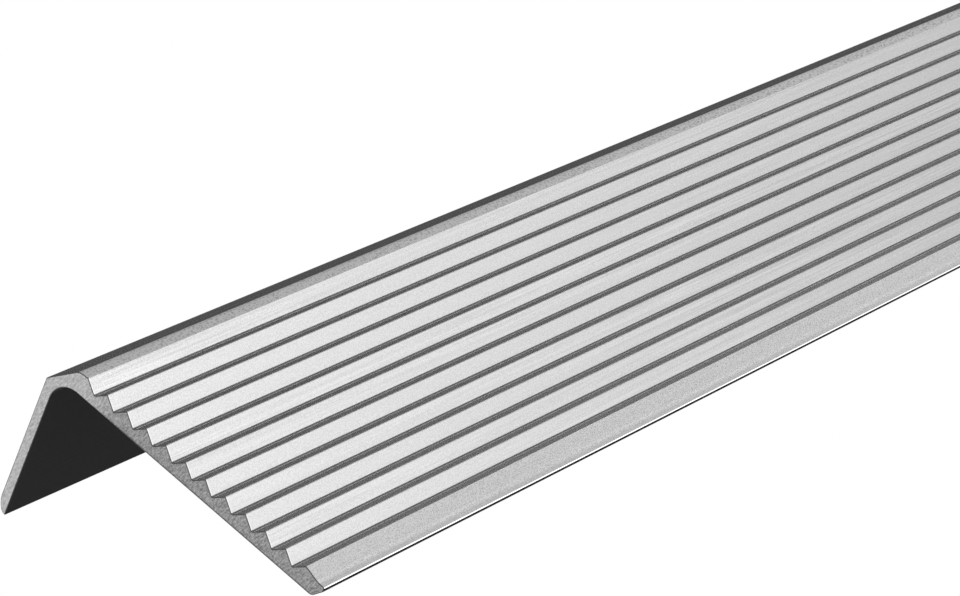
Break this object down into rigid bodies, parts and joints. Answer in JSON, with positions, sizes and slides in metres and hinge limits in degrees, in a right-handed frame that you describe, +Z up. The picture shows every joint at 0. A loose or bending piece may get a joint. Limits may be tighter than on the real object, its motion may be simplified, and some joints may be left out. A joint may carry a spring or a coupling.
{
  "type": "threshold strip",
  "caption": "Ribbed aluminium angle strip that covers the edge of a step: grooved tread, chamfered nose and short leg, with foam mounting tape under the tread.",
  "frame": {"origin": "edge of the step that the strip covers, at the middle of its length: inner face of the leg (y = 0) and face that lies on the step (z = 0)", "axes": "+X along the strip, +Y back over the tread of the step, +Z up"},
  "size_m": [0.9, 0.045, 0.025],
  "materials": {
    "profile_aluminium": "satin brushed along the length",
    "tape_foam": "matt closed-cell foam",
    "liner_paper": "smooth siliconised paper"
  },
  "bodies": {
    "strip": {"nosing_profile": "profile_aluminium", "front_tape": "tape_foam", "rear_tape": "tape_foam"},
    "front_liner": {"front_liner": "liner_paper"},
    "rear_liner": {"rear_liner": "liner_paper"}
  },
  "joints": [
    {"name": "front_liner_peel", "type": "slide", "parent": "strip", "child": "front_liner", "axis": [0, 0.9397, -0.342], "range_m": [0, 0.05]},
    {"name": "rear_liner_peel", "type": "slide", "parent": "strip", "child": "rear_liner", "axis": [0, 0.9397, -0.342], "range_m": [0, 0.05]}
  ]
}
